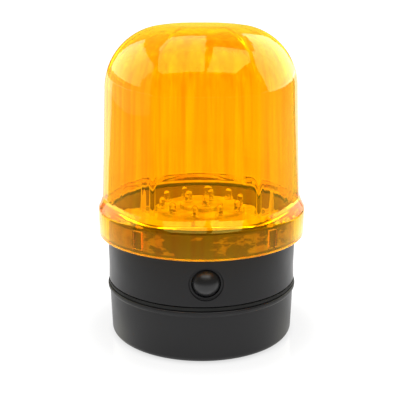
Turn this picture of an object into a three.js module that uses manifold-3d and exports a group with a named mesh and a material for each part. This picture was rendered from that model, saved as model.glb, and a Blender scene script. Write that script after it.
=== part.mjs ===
// An amber LED warning beacon that runs on four AA cells and holds to a vehicle by a magnet in its foot.
// Millimetres, +Z up, origin at the middle of the rubber pad's underside. The button faces -Y.
// The lens lifts off the neck, the housing twists and lifts off the battery cup, and the button is pressed.
import * as THREE from "three";
import { mergeVertices } from "three/addons/utils/BufferGeometryUtils.js";
import Module from "manifold-3d";

const wasm = await Module();
wasm.setup();

// ---- driving dimensions ----------------------------------------------------------------------------------
const GAP = 0.3; // clearance between pieces that touch
const ROUND = 48; // sides of the large turned pieces
const SMALL_ROUND = 20; // sides of the mid-sized turned pieces
const TINY_ROUND = 8; // sides of screws, lamps and wires

const FLANGE_RADIUS = 50; // the widest part, the lens flange
const LENS_TOP = 150.5;
const LENS_FOOT = 67.6; // where the panelled wall meets the shoulder
const FLANGE_BOTTOM = 51.5;
const CORNER_RADIUS = 30; // large round corner between wall and flat top
const WALL_TOP = LENS_TOP - CORNER_RADIUS;
const WALL_TOP_RADIUS = 45.5;
const WALL_FOOT_RADIUS = 47.8;
const PANELS = 6; // flatter panels that meet in creases
const PANEL_ARC = 1.6; // radius of a panel's arc, in crease radii
const LENS_WALL = 3;
const LENS_LEDGE = 64.2; // underside of the ledge that closes on the gasket
const SKIRT_BORE = 46.3; // inner radius of the flange's skirt

const BODY_RADIUS = 46;
const BODY_BORE = 43.2;
const BODY_BOTTOM = 28.2;
const NECK_RADIUS = 45.7;
const NECK_BOTTOM = 51.2;
const NECK_TOP = 62.4;
const DECK_LEDGE = 51.7;
const NOTCH_ANGLES = [40, 140, 220, 320]; // notches in the neck, degrees round from -Y
const NOTCH_WIDTH = 5.4;
const NOTCH_FLOOR = 44.3; // how far a notch's back lies from the axis

const CUP_RIM = 26;
const CUP_FLOOR = 12.4;
const CUP_POCKET = 10.1; // ceiling of the magnet's pocket
const POCKET_RADIUS = 36.5;
const PAD_RADIUS = 38;
const PAD_HEIGHT = 2.2;

const CELL_RADIUS = 7.25;
const CELL_LENGTH = 50.5;
const CELL_PITCH = 15.2;
const CELL_SHIFT = 1.2; // each cell stands nearer its flat contact than its spring
const TRAY_PLATE = 29.3; // underside of the tray's plate
const TRAY_PLATE_TOP = 31.3;
const CELL_AXIS = TRAY_PLATE - 0.4 - CELL_RADIUS;

const BUTTON_HEIGHT = 39.2;
const BUTTON_RADIUS = 6.4;
const BUTTON_POCKET = 7.9; // radius of the flat recess round the button
const POCKET_FACE = 44.6; // how far the recess's floor lies from the axis

const DECK_BOTTOM = 52;
const DECK_TOP = 53.6;
const DECK_BOSS_FOOT = 46.6;
const DECK_POST_RADIUS = 34; // where the deck's screws stand
const DECK_POST_ANGLES = [112, 228, 352]; // degrees round from -Y
const LED_BOARD_TOP = 55.5;
const LED_SEAT = 63.2; // underside of the outer lamps
const LED_DRUM_TOP = 64.8; // raised middle of the holder, under the inner lamps
const LED_DRUM_RADIUS = 10.7;
const OUTER_LEDS = 10;
const OUTER_LED_CIRCLE = 19.3;
const INNER_LEDS = 3;
const INNER_LED_CIRCLE = 6.5;
const OUTER_LED_TURN = 12; // degrees that the outer ring is turned from +Y

const BOARD_BOTTOM = 44;
const BOARD_THICKNESS = 1.6;
const BOARD_MIDDLE = 12; // distance of the driver board's middle from the axis, towards +Y
const STANDOFF_X = 22;
const BOSS_X = 36; // screws that hold the tray to the housing
const MAGNET_SCREW_CIRCLE = 33;

// ---- materials -------------------------------------------------------------------------------------------
const finish = (color, roughness, metalness = 0, extra = {}) =>
  new THREE.MeshStandardMaterial({ color, roughness, metalness, ...extra });
const amber = finish(0xff9a00, 0.08, 0, { transparent: true, opacity: 0.6 });
const blackPlastic = finish(0x2b2b2d, 0.4);
const buttonPlastic = finish(0x1d1d1f, 0.3);
const blackRubber = finish(0x1a1a1b, 0.75);
const sealRubber = finish(0x3c4032, 0.7);
const gasketRubber = finish(0x5d6147, 0.7);
const whitePlastic = finish(0xf0eee6, 0.35);
const whiteBoard = finish(0xf4f4ee, 0.4);
const greenBoard = finish(0x1f6b3a, 0.45);
const clearEpoxy = finish(0xfff2d8, 0.06, 0, { transparent: true, opacity: 0.55 });
const ferrite = finish(0x38383b, 0.6, 0.2);
const zincSteel = finish(0xb9bcc0, 0.35, 0.9);
const darkScrew = finish(0x4a4a4c, 0.35, 0.8);
const nickel = finish(0xcfcdc6, 0.25, 1);
const cellJacket = finish(0x3f6fb5, 0.35);
const capacitorSleeve = finish(0x1f2a55, 0.4);
const copper = finish(0xb5672f, 0.35, 0.8);
const chipEpoxy = finish(0x222224, 0.55);
const redWire = finish(0xc21f1a, 0.45);
const darkWire = finish(0x202022, 0.45);
const whiteWire = finish(0xe6e3da, 0.45);

// ---- solids ----------------------------------------------------------------------------------------------
function signedVolume(geometry) {
  const place = geometry.attributes.position;
  const corners = geometry.index.array;
  const a = new THREE.Vector3();
  const b = new THREE.Vector3();
  const c = new THREE.Vector3();
  let sum = 0;
  for (let i = 0; i < corners.length; i += 3) {
    a.fromBufferAttribute(place, corners[i]);
    b.fromBufferAttribute(place, corners[i + 1]);
    c.fromBufferAttribute(place, corners[i + 2]);
    sum += a.dot(b.cross(c)) / 6;
  }
  return sum;
}

// Welds a geometry's shared vertices, drops triangles with no area and turns its faces outwards.
function closed(geometry) {
  const bare = geometry.clone();
  bare.deleteAttribute("normal");
  bare.deleteAttribute("uv");
  const welded = mergeVertices(bare, 1e-4);
  const corners = welded.index.array;
  const kept = [];
  for (let i = 0; i < corners.length; i += 3) {
    const face = [corners[i], corners[i + 1], corners[i + 2]];
    if (new Set(face).size === 3) kept.push(...face);
  }
  welded.setIndex(kept);
  if (signedVolume(welded) < 0) welded.setIndex(kept.reverse());
  return welded;
}

function toSolid(geometry) {
  const skin = closed(geometry);
  const vertProperties = new Float32Array(skin.attributes.position.array);
  const triVerts = new Uint32Array(skin.index.array);
  return new wasm.Manifold(new wasm.Mesh({ numProp: 3, vertProperties, triVerts }));
}

function toGeometry(solid) {
  const mesh = solid.getMesh();
  const geometry = new THREE.BufferGeometry();
  geometry.setAttribute("position", new THREE.BufferAttribute(mesh.vertProperties, 3));
  geometry.setIndex(new THREE.BufferAttribute(mesh.triVerts, 1));
  return geometry;
}

function cut(geometry, ...tools) {
  let solid = toSolid(geometry);
  for (const tool of tools) solid = solid.subtract(toSolid(tool));
  return toGeometry(solid);
}

function join(geometry, ...others) {
  let solid = toSolid(geometry);
  for (const other of others) solid = solid.add(toSolid(other));
  return toGeometry(solid);
}

function common(geometry, other) {
  return toGeometry(toSolid(geometry).intersect(toSolid(other)));
}

// A solid of revolution about Z from [radius, height] points. A ring's last point repeats its first.
function turned(profile, sides = ROUND) {
  const points = profile.map(([radius, height]) => new THREE.Vector2(radius, height));
  return closed(new THREE.LatheGeometry(points, sides).rotateX(Math.PI / 2));
}

function ring(inner, outer, bottom, top, sides = ROUND) {
  const section = [[inner, bottom], [outer, bottom], [outer, top], [inner, top], [inner, bottom]];
  return turned(section, sides);
}

function disc(radius, bottom, top, sides = ROUND) {
  return turned([[0, bottom], [radius, bottom], [radius, top], [0, top]], sides);
}

function arc(radius, height, size, from, to, steps) {
  const points = [];
  for (let i = 0; i <= steps; i += 1) {
    const angle = THREE.MathUtils.degToRad(from + ((to - from) * i) / steps);
    points.push([radius + size * Math.cos(angle), height + size * Math.sin(angle)]);
  }
  return points;
}

function block(x0, x1, y0, y1, z0, z1) {
  const box = new THREE.BoxGeometry(x1 - x0, y1 - y0, z1 - z0);
  return box.translate((x0 + x1) / 2, (y0 + y1) / 2, (z0 + z1) / 2);
}

// A place on a circle about Z, at an angle in degrees from -Y towards +X.
function around(radius, angle, height = 0) {
  const turn = THREE.MathUtils.degToRad(angle);
  return new THREE.Vector3(radius * Math.sin(turn), -radius * Math.cos(turn), height);
}

// Puts a geometry that was made in front, along -Y, at an angle round Z.
function turnTo(geometry, angle) {
  return geometry.rotateZ(THREE.MathUtils.degToRad(angle));
}

const beacon = new THREE.Group();

function piece(name, geometry, material, x = 0, y = 0, z = 0) {
  const shown = geometry.toNonIndexed();
  shown.computeVertexNormals();
  const mesh = new THREE.Mesh(shown, material);
  mesh.name = name;
  mesh.position.set(x, y, z);
  beacon.add(mesh);
  return mesh;
}

// A pan-head screw along Z with its head's underside at height 0 and its shank going down.
function screw(headRadius, headHeight, shankRadius, shankLength) {
  const profile = [
    [0, -shankLength],
    [shankRadius, -shankLength],
    [shankRadius, 0],
    [headRadius, 0],
    [headRadius, headHeight * 0.55],
    [headRadius * 0.6, headHeight],
    [0, headHeight],
  ];
  return turned(profile, TINY_ROUND);
}

// ---- battery cup with its magnet foot --------------------------------------------------------------------
const cupSection = [
  [0, CUP_POCKET],
  [POCKET_RADIUS, CUP_POCKET],
  [POCKET_RADIUS, PAD_HEIGHT + GAP],
  [PAD_RADIUS + GAP, PAD_HEIGHT + GAP],
  [PAD_RADIUS + GAP, 0.5],
  ...arc(42.4, 3.1, 2.6, -90, 0, 3),
  [45.7, 23.6],
  [46.6, 24.3],
  [46.6, 25.6],
  [46.2, CUP_RIM],
  [43.5, CUP_RIM],
  [43.1, CUP_FLOOR + 0.6],
  [42.5, CUP_FLOOR],
  [0, CUP_FLOOR],
];
const magnetScrewAngles = [90, 210, 330];
const cupBosses = magnetScrewAngles.map((angle) => {
  const at = around(MAGNET_SCREW_CIRCLE, angle);
  return disc(3, CUP_FLOOR - 1, CUP_FLOOR + 1.2, TINY_ROUND).translate(at.x, at.y, 0);
});
const cupHoles = magnetScrewAngles.map((angle) => {
  const at = around(MAGNET_SCREW_CIRCLE, angle);
  return disc(1.6, CUP_POCKET - 1, CUP_FLOOR + 0.8, TINY_ROUND).translate(at.x, at.y, 0);
});
piece("battery_cup", cut(join(turned(cupSection), ...cupBosses), ...cupHoles), blackPlastic);

const padSection = [
  [0, 0],
  [PAD_RADIUS - 0.8, 0],
  [PAD_RADIUS, 0.8],
  [PAD_RADIUS, PAD_HEIGHT],
  [0, PAD_HEIGHT],
];
piece("foot_pad", turned(padSection), blackRubber);
piece("ring_magnet", ring(7, 28.5, PAD_HEIGHT + GAP, 8.5), ferrite);

const plateTop = CUP_POCKET - GAP;
const plateHoles = magnetScrewAngles.map((angle) => {
  const at = around(MAGNET_SCREW_CIRCLE, angle);
  return disc(1.6, 8, 11, TINY_ROUND).translate(at.x, at.y, 0);
});
piece("magnet_plate", cut(disc(POCKET_RADIUS - GAP, 8.8, plateTop), ...plateHoles), zincSteel);
magnetScrewAngles.forEach((angle, i) => {
  const at = around(MAGNET_SCREW_CIRCLE, angle);
  const fastener = screw(2.8, 1.8, 1.3, 4.4).rotateX(Math.PI);
  piece(`magnet_screw_${i + 1}`, fastener, darkScrew, at.x, at.y, 8.5);
});

// ---- seal between cup and housing ------------------------------------------------------------------------
piece("body_seal", ring(43.8, 46.1, CUP_RIM + GAP, BODY_BOTTOM - GAP), sealRubber);

// ---- housing ---------------------------------------------------------------------------------------------
const bodySection = [
  [BODY_BORE, BODY_BOTTOM],
  [BODY_RADIUS - 0.4, BODY_BOTTOM],
  [BODY_RADIUS, BODY_BOTTOM + 0.4],
  [BODY_RADIUS - 0.2, 36],
  [BODY_RADIUS, NECK_BOTTOM],
  [NECK_RADIUS, NECK_BOTTOM],
  [NECK_RADIUS, NECK_TOP],
  [BODY_BORE, NECK_TOP],
  [BODY_BORE, DECK_LEDGE],
  [BODY_BORE - 2, DECK_LEDGE],
  [BODY_BORE - 2, DECK_LEDGE - 1.6],
  [BODY_BORE, DECK_LEDGE - 3.6],
  [BODY_BORE, BODY_BOTTOM],
];
const bodyAdded = [];
const bodyCut = [];
for (const side of [-1, 1]) {
  bodyAdded.push(disc(3.2, TRAY_PLATE_TOP + GAP, 43, TINY_ROUND).translate(side * BOSS_X, 0, 0));
  const near = side * (BOSS_X + 1);
  const far = side * (BODY_BORE + 0.6);
  const rib = [Math.min(near, far), Math.max(near, far)];
  bodyAdded.push(block(...rib, -1, 1, TRAY_PLATE_TOP + GAP, 43));
  bodyCut.push(disc(1.8, TRAY_PLATE_TOP, 40, TINY_ROUND).translate(side * BOSS_X, 0, 0));
}
for (const angle of DECK_POST_ANGLES) {
  const at = around(DECK_POST_RADIUS, angle);
  bodyAdded.push(disc(3.2, DECK_BOSS_FOOT, DECK_LEDGE, TINY_ROUND).translate(at.x, at.y, 0));
  bodyAdded.push(turnTo(block(-1, 1, -BODY_BORE - 0.6, -DECK_POST_RADIUS - 1, DECK_BOSS_FOOT, 50.5), angle));
  bodyCut.push(disc(1.6, DECK_BOSS_FOOT + 1.2, DECK_LEDGE + 1, TINY_ROUND).translate(at.x, at.y, 0));
}
const nub = block(-1.9, 1.9, -FLANGE_RADIUS + 0.7, -BODY_RADIUS + 1, 48.2, 50.9);
bodyAdded.push(turnTo(nub, -92));
const alongY = (geometry) => geometry.rotateX(Math.PI / 2);
const buttonPlace = (geometry) => alongY(geometry).translate(0, 0, BUTTON_HEIGHT);
bodyCut.push(buttonPlace(disc(BUTTON_POCKET, POCKET_FACE, 60, 28)));
bodyCut.push(buttonPlace(disc(BUTTON_RADIUS + GAP, 38, 60, 28)));
for (const angle of NOTCH_ANGLES) {
  const half = NOTCH_WIDTH / 2;
  bodyCut.push(turnTo(block(-half, half, -48, -NOTCH_FLOOR, 52, NECK_TOP + 1), angle));
}
piece("upper_body", cut(join(turned(bodySection), ...bodyAdded), ...bodyCut), blackPlastic);

// ---- battery tray, cells and contacts --------------------------------------------------------------------
const bayHalf = 27.6; // inner face of the bays' end walls
const bayWall = 1.5;
const sideWall = 1.5 * CELL_PITCH + CELL_RADIUS + 0.4;
const trayFoot = 15.5; // lower edge of the bays' walls
const trayEnd = bayHalf + bayWall;
const traySkirt = ring(41.2, 42.8, 20, TRAY_PLATE + 1);
const trayWalls = join(
  block(-trayEnd, -bayHalf, -sideWall - bayWall, sideWall + bayWall, trayFoot, TRAY_PLATE + 1),
  block(bayHalf, trayEnd, -sideWall - bayWall, sideWall + bayWall, trayFoot, TRAY_PLATE + 1),
  block(-trayEnd, trayEnd, -sideWall - bayWall, -sideWall, trayFoot, TRAY_PLATE + 1),
  block(-trayEnd, trayEnd, sideWall, sideWall + bayWall, trayFoot, TRAY_PLATE + 1),
);
const trayRibs = [-1, 0, 1].map((place) => {
  const y = place * CELL_PITCH;
  return block(-24, 24, y - 0.8, y + 0.8, 26.2, TRAY_PLATE + 1);
});
const standoffs = [-1, 1].map((side) =>
  disc(2.7, TRAY_PLATE_TOP - 1, BOARD_BOTTOM - GAP, TINY_ROUND).translate(side * STANDOFF_X, BOARD_MIDDLE, 0),
);
const switchShelf = block(-6, 6, -36, -25, TRAY_PLATE_TOP - 1, 33.1);
const trayHoles = [-1, 1].flatMap((side) => [
  disc(1.8, 20, 34, TINY_ROUND).translate(side * BOSS_X, 0, 0),
  disc(1.5, 37.5, 46, TINY_ROUND).translate(side * STANDOFF_X, BOARD_MIDDLE, 0),
]);
const wirePass = disc(2.2, 20, 34, TINY_ROUND).translate(-33, 14, 0);
const wirePassBack = disc(2.2, 20, 34, TINY_ROUND).translate(-33, -14, 0);
const trayShell = join(
  disc(BODY_BORE - GAP, TRAY_PLATE, TRAY_PLATE_TOP),
  traySkirt,
  common(trayWalls, disc(42.8, 10, 40)),
  ...trayRibs,
  ...standoffs,
  switchShelf,
);
piece("battery_tray", cut(trayShell, ...trayHoles, wirePass, wirePassBack), blackPlastic);

const cellSection = [
  [0, 0],
  [CELL_RADIUS - 0.6, 0],
  [CELL_RADIUS, 0.6],
  [CELL_RADIUS, CELL_LENGTH - 2],
  [CELL_RADIUS - 0.6, CELL_LENGTH - 1.4],
  [2.7, CELL_LENGTH - 1.4],
  [2.7, CELL_LENGTH],
  [0, CELL_LENGTH],
];
const springSection = [[0, 0], [4.2, 0], [2.6, 2], [0, 2]];
for (let i = 0; i < 4; i += 1) {
  const y = (i - 1.5) * CELL_PITCH;
  const facing = i % 2 === 0 ? 1 : -1; // the nub points to +X on every second cell
  const cell = turned(cellSection, SMALL_ROUND).rotateY((facing * Math.PI) / 2);
  piece(`cell_${i + 1}`, cell, cellJacket, facing * (CELL_SHIFT - CELL_LENGTH / 2), y, CELL_AXIS);
  const spring = turned(springSection, 12).rotateY((facing * Math.PI) / 2);
  piece(`contact_spring_${i + 1}`, spring, nickel, facing * -26.5, y, CELL_AXIS);
}
const strips = { right_front: [1, -29, -1.6], right_back: [1, 1.6, 29], left_middle: [-1, -13.4, 13.4] };
strips.left_minus = [-1, -29, -16.6];
strips.left_plus = [-1, 16.6, 29];
for (const [place, [side, from, to]] of Object.entries(strips)) {
  const faces = [side * 26.8, side * 27.3].sort((a, b) => a - b);
  piece(`contact_strip_${place}`, block(...faces, from, to, 17, 26), nickel);
}
for (const side of [-1, 1]) {
  const name = side < 0 ? "left" : "right";
  const trayScrew = screw(2.8, 1.7, 1.3, 10).rotateX(Math.PI);
  piece(`tray_screw_${name}`, trayScrew, darkScrew, side * BOSS_X, 0, TRAY_PLATE - GAP);
}

// ---- driver board and its components ---------------------------------------------------------------------
const boardTop = BOARD_BOTTOM + BOARD_THICKNESS;
const boardHoles = [-1, 1].map((side) =>
  disc(1.5, 40, 50, TINY_ROUND).translate(side * STANDOFF_X, BOARD_MIDDLE, 0),
);
const boardBlank = block(-27, 27, BOARD_MIDDLE - 17, BOARD_MIDDLE + 17, BOARD_BOTTOM, boardTop);
piece("driver_board", cut(boardBlank, ...boardHoles), greenBoard);
for (const side of [-1, 1]) {
  const name = side < 0 ? "left" : "right";
  const boardScrew = screw(2.5, 1.4, 1.1, 7);
  piece(`board_screw_${name}`, boardScrew, darkScrew, side * STANDOFF_X, BOARD_MIDDLE, boardTop + GAP);
}
const capacitor = disc(4, 0, 11, SMALL_ROUND).rotateX(Math.PI);
piece("capacitor", capacitor, capacitorSleeve, -10, 22, BOARD_BOTTOM - GAP);
const choke = ring(2, 5.5, -5, 0, 16);
piece("choke_coil", choke, copper, 10, 21, BOARD_BOTTOM - GAP);
piece("driver_chip", block(-4, 4, 2, 7, boardTop + GAP, boardTop + GAP + 1.7), chipEpoxy);

// ---- push switch, its spring and the button --------------------------------------------------------------
const switchFront = 36.5;
const switchCase = block(-5.8, 5.8, -switchFront, -24.5, 33.4, 45);
const switchPins = [-3, 3].map((x) => block(x - 0.5, x + 0.5, -25, -21.5, 38.5, 40.5));
const switchBore = buttonPlace(disc(2.9, 28.5, 40, 12));
piece("switch_body", cut(join(switchCase, ...switchPins), switchBore), chipEpoxy);
piece("switch_plunger", buttonPlace(disc(2.3, 33.5, 40.7, 12)), whitePlastic);

class SpringPath extends THREE.Curve {
  getPoint(t) {
    const turn = 2 * Math.PI * 3 * t;
    return new THREE.Vector3(3.9 * Math.cos(turn), -40.3 + 3 * t, 3.9 * Math.sin(turn));
  }
}
function tube(path, radius, steps, sides = TINY_ROUND) {
  const section = new THREE.Shape();
  section.absarc(0, 0, radius, 0, 2 * Math.PI);
  return new THREE.ExtrudeGeometry(section, { steps, curveSegments: sides / 2, extrudePath: path });
}
piece("button_spring", closed(tube(new SpringPath(), 0.35, 30, 6)), nickel, 0, 0, BUTTON_HEIGHT);

const buttonSection = [
  [0, 41],
  [7.3, 41],
  [7.3, 42.1],
  [BUTTON_RADIUS, 42.1],
  [BUTTON_RADIUS, 44.2],
  ...arc(0, 41.2, 7.1, 28, 90, 4).map(([radius, height]) => [radius, height - 0.1]),
];
piece("power_button", buttonPlace(turned(buttonSection, 28)), buttonPlastic);

// ---- deck, LED board and lamps ---------------------------------------------------------------------------
const deckPosts = [];
const deckHoles = [disc(3, 50, 60, 12)];
for (const angle of DECK_POST_ANGLES) {
  const at = around(DECK_POST_RADIUS, angle);
  const spire = around(DECK_POST_RADIUS + 5.4, angle);
  deckPosts.push(disc(3.9, DECK_TOP - 1, DECK_TOP + 1, 12).translate(at.x, at.y, 0));
  const spireSection = [[0, DECK_TOP - 1], [2, DECK_TOP - 1], [0.6, 66.4], [0, 66.4]];
  deckPosts.push(turned(spireSection, TINY_ROUND).translate(spire.x, spire.y, 0));
  deckHoles.push(disc(1.6, 50, 60, TINY_ROUND).translate(at.x, at.y, 0));
}
const deckSection = [
  [0, DECK_BOTTOM],
  [BODY_BORE - GAP, DECK_BOTTOM],
  [BODY_BORE - GAP, DECK_TOP + 0.6],
  [BODY_BORE - 1.4, DECK_TOP + 0.6],
  [BODY_BORE - 2, DECK_TOP],
  [0, DECK_TOP],
];
piece("reflector_deck", cut(join(turned(deckSection), ...deckPosts), ...deckHoles), whitePlastic);
DECK_POST_ANGLES.forEach((angle, i) => {
  const at = around(DECK_POST_RADIUS, angle);
  piece(`deck_screw_${i + 1}`, screw(2.7, 1.6, 1.2, 6.6), zincSteel, at.x, at.y, DECK_TOP + 1 + GAP);
});
piece("led_board", disc(23.4, DECK_TOP + GAP, LED_BOARD_TOP, 36), whiteBoard);
const holderSection = [
  [0, LED_BOARD_TOP + GAP],
  [21.8, LED_BOARD_TOP + GAP],
  [21.8, LED_SEAT - 1.2],
  [21.2, LED_SEAT - GAP],
  [LED_DRUM_RADIUS, LED_SEAT - GAP],
  [LED_DRUM_RADIUS, LED_DRUM_TOP],
  [0, LED_DRUM_TOP],
];
piece("led_holder", turned(holderSection, 36), whitePlastic);

const ledSection = [[0, 0], [1.9, 0], [1.9, 1], [1.5, 1], [1.5, 3.9], [1.06, 4.96], [0, 5.4]];
function ledRing(prefix, count, circle, turn, seat) {
  for (let i = 0; i < count; i += 1) {
    const at = around(circle, 180 - turn + (360 * i) / count);
    piece(`${prefix}_${i + 1}`, turned(ledSection, TINY_ROUND), clearEpoxy, at.x, at.y, seat);
  }
}
ledRing("led_outer", OUTER_LEDS, OUTER_LED_CIRCLE, OUTER_LED_TURN, LED_SEAT);
ledRing("led_inner", INNER_LEDS, INNER_LED_CIRCLE, 45, LED_DRUM_TOP + GAP);

// ---- wires -----------------------------------------------------------------------------------------------
function wire(name, material, stations, steps) {
  const path = new THREE.CatmullRomCurve3(stations.map(([x, y, z]) => new THREE.Vector3(x, y, z)));
  piece(name, closed(tube(path, 0.8, steps)), material);
}
const plusRoute = [[-33, 14, 27], [-33, 14, 33], [-32, 12, 38], [-29, 10, 42], [-27.9, 9, 44.8]];
const minusRoute = [[-33, -14, 27], [-33, -14, 33], [-32, -8, 38], [-29, -3, 42], [-27.9, 1, 44.8]];
const ledRoute = [[0, -5.9, 45], [0, -6.4, 46.8], [0, -4.2, 48.8], [0, -0.8, 50.6], [0, 0, 53.6]];
const switchRoute = [[3, -20.7, 39.5], [3, -17, 39.5], [3, -12, 41], [3, -8, 44], [3, -5.9, 45.2]];
wire("wire_battery_plus", redWire, plusRoute, 8);
wire("wire_battery_minus", darkWire, minusRoute, 8);
wire("wire_leds", whiteWire, ledRoute, 8);
wire("wire_switch", redWire, switchRoute, 8);

// ---- lens and its gasket ---------------------------------------------------------------------------------
piece("lens_gasket", ring(43.4, 45.5, NECK_TOP + GAP, LENS_LEDGE - GAP), gasketRubber);

// Distance of a panel from the axis as a share of its creases' distance.
function panelShare(angle) {
  const step = (2 * Math.PI) / PANELS;
  const off = angle - step * Math.round(angle / step);
  const reach = Math.cos(step / 2) - Math.sqrt(PANEL_ARC ** 2 - Math.sin(step / 2) ** 2);
  return reach * Math.cos(off) + Math.sqrt(PANEL_ARC ** 2 - (reach * Math.sin(off)) ** 2);
}
const cornerAxis = WALL_TOP_RADIUS - CORNER_RADIUS;
const innerCorner = CORNER_RADIUS - LENS_WALL;
const outside = [
  [0, LENS_TOP],
  ...arc(cornerAxis, WALL_TOP, CORNER_RADIUS, 90, 0, 6),
  [WALL_FOOT_RADIUS, LENS_FOOT],
];
const skirt = [
  [49.3, LENS_FOOT - 1.5],
  [FLANGE_RADIUS, LENS_FOOT - 3],
  [FLANGE_RADIUS + 0.1, FLANGE_BOTTOM + 0.6],
  [FLANGE_RADIUS - 0.4, FLANGE_BOTTOM],
  [SKIRT_BORE, FLANGE_BOTTOM],
  [SKIRT_BORE, LENS_LEDGE],
];
const inside = [
  [WALL_FOOT_RADIUS - LENS_WALL, LENS_LEDGE],
  ...arc(cornerAxis, WALL_TOP, innerCorner, 0, 90, 5),
  [0, WALL_TOP + innerCorner],
];
function lensShell() {
  const profile = [...outside, ...skirt, ...inside];
  const points = profile.map(([radius, height]) => new THREE.Vector2(radius, height));
  const shell = new THREE.LatheGeometry(points, ROUND);
  const place = shell.attributes.position;
  for (let column = 0; column <= ROUND; column += 1) {
    const share = panelShare((2 * Math.PI * column) / ROUND);
    for (let row = 0; row < profile.length; row += 1) {
      if (row >= outside.length && row < outside.length + skirt.length) {
        continue;
      }
      const at = column * profile.length + row;
      place.setX(at, place.getX(at) * share);
      place.setZ(at, place.getZ(at) * share);
    }
  }
  return closed(shell.rotateX(Math.PI / 2));
}
const lugs = NOTCH_ANGLES.map((angle) =>
  turnTo(block(-2.1, 2.1, -SKIRT_BORE - 0.8, -NECK_RADIUS + 1.1, FLANGE_BOTTOM + 1.5, NECK_TOP - 0.9), angle),
);
piece("lens_dome", join(lensShell(), ...lugs), amber);

export default beacon;
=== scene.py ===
import math
import random

import bmesh
import bpy
from mathutils import Matrix, Vector


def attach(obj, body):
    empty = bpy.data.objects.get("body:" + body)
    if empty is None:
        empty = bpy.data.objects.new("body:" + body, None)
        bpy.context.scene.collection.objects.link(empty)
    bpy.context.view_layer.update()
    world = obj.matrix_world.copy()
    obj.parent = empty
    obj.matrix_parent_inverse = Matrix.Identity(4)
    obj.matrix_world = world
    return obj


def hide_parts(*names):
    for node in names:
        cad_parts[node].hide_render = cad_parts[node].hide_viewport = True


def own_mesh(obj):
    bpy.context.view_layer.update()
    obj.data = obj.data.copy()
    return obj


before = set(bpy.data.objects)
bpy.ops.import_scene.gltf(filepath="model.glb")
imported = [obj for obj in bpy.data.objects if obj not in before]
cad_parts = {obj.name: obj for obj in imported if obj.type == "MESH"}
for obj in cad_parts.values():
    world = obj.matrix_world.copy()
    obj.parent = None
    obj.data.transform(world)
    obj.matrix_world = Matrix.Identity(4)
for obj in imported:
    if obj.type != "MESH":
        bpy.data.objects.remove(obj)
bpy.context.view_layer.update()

MM = 0.001
TAU = 2 * math.pi
rng = random.Random(7)

# ---- dimensions in millimetres, and angles in degrees from -Y towards +X ----------------------------------------
# The lens's outline follows the photo. It is up to 1.4 mm off the CAD lens; the other pieces follow the CAD.
LENS_TOP = 150.5
LENS_FOOT = 69.0
CORNER = 30.0  # radius of the bend between the lens's top and its wall
WALL_TOP = LENS_TOP - CORNER
WALL_TOP_RADIUS = 46.0
WALL_FOOT_RADIUS = 48.2
LENS_WALL = 3.0
LENS_SIDES = 360
PANELS = 6
PANEL_ARC = 1.6  # radius of a panel's curve, as a share of its creases' distance from the axis
FLANGE_RADIUS = 50.2
FLANGE_INSIDE = 46.3
FLANGE_CEILING = 64.2
FLANGE_FOOT = 51.5
NOTCHES = (40, 140, 220, 320)
DECK_POSTS = (112, 228, 352)
DECK_SCREW_CIRCLE = 34
MAGNET_SCREWS = (90, 210, 330)
MAGNET_SCREW_CIRCLE = 33
TRAY_SCREW_X = 36
BOARD_SCREW_X, BOARD_SCREW_Y = 22, 12
BUTTON_HEIGHT = 39.2
LED_SEAT = 63.2
DRUM_TOP = 64.8
DRUM_RADIUS = 10.7
DRUM_FLUTES = 28
LEAD_OFFSET = 0.55  # how far each of a lamp's two posts stands from its axis
CELL_RADIUS = 7.25
CELL_LENGTH = 50.5
CELL_AXIS = 21.65
CELL_PITCH = 15.2
CELL_ROWS = [(i - 1.5) * CELL_PITCH for i in range(4)]
CHOKE_X, CHOKE_Y, CHOKE_HEIGHT = 10, 21, 41.2
ROUNDING_STEPS = 3
BEVEL_ANGLE = 42  # edges sharper than this are bevelled


# ---- mesh tools ----------------------------------------------------------------------------------------------
FACING_BUTTON = Matrix.Rotation(math.pi / 2, 4, "X")  # from +Z to -Y
UPSIDE_DOWN = Matrix.Rotation(math.pi, 4, "X")


def around(radius, angle, height=0.0):
    """A place on a circle about Z, at an angle in degrees from -Y towards +X."""
    turn = math.radians(angle)
    return Vector((radius * math.sin(turn), -radius * math.cos(turn), height))


def between(a, b, share):
    return a + (b - a) * share


def arc(r, z, size, start, end, steps):
    """Points of an arc about (r, z) in the (radius, height) plane, from one angle in degrees to another."""
    return [
        (r + size * math.cos(math.radians(start + (end - start) * i / steps)),
         z + size * math.sin(math.radians(start + (end - start) * i / steps)))
        for i in range(steps + 1)
    ]


def rounded(profile, size, loop=False):
    """Fillets the corners of a (radius, height) line; points on the axis stay."""
    count = len(profile)
    out = []
    for i, here in enumerate(profile):
        if here[0] == 0 or (not loop and i in (0, count - 1)):
            out.append(here)
            continue
        a = Vector(profile[i - 1]) - Vector(here)
        b = Vector(profile[(i + 1) % count]) - Vector(here)
        if a.length < 1e-6 or b.length < 1e-6 or abs(a.normalized().cross(b.normalized())) < 0.12:
            out.append(here)
            continue
        reach = min(size, a.length * 0.45, b.length * 0.45)
        p0 = Vector(here) + a.normalized() * reach
        p2 = Vector(here) + b.normalized() * reach
        for k in range(ROUNDING_STEPS + 1):
            t = k / ROUNDING_STEPS
            p = p0 * (1 - t) ** 2 + Vector(here) * 2 * t * (1 - t) + p2 * t ** 2
            out.append((p.x, p.y))
    return out


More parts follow.
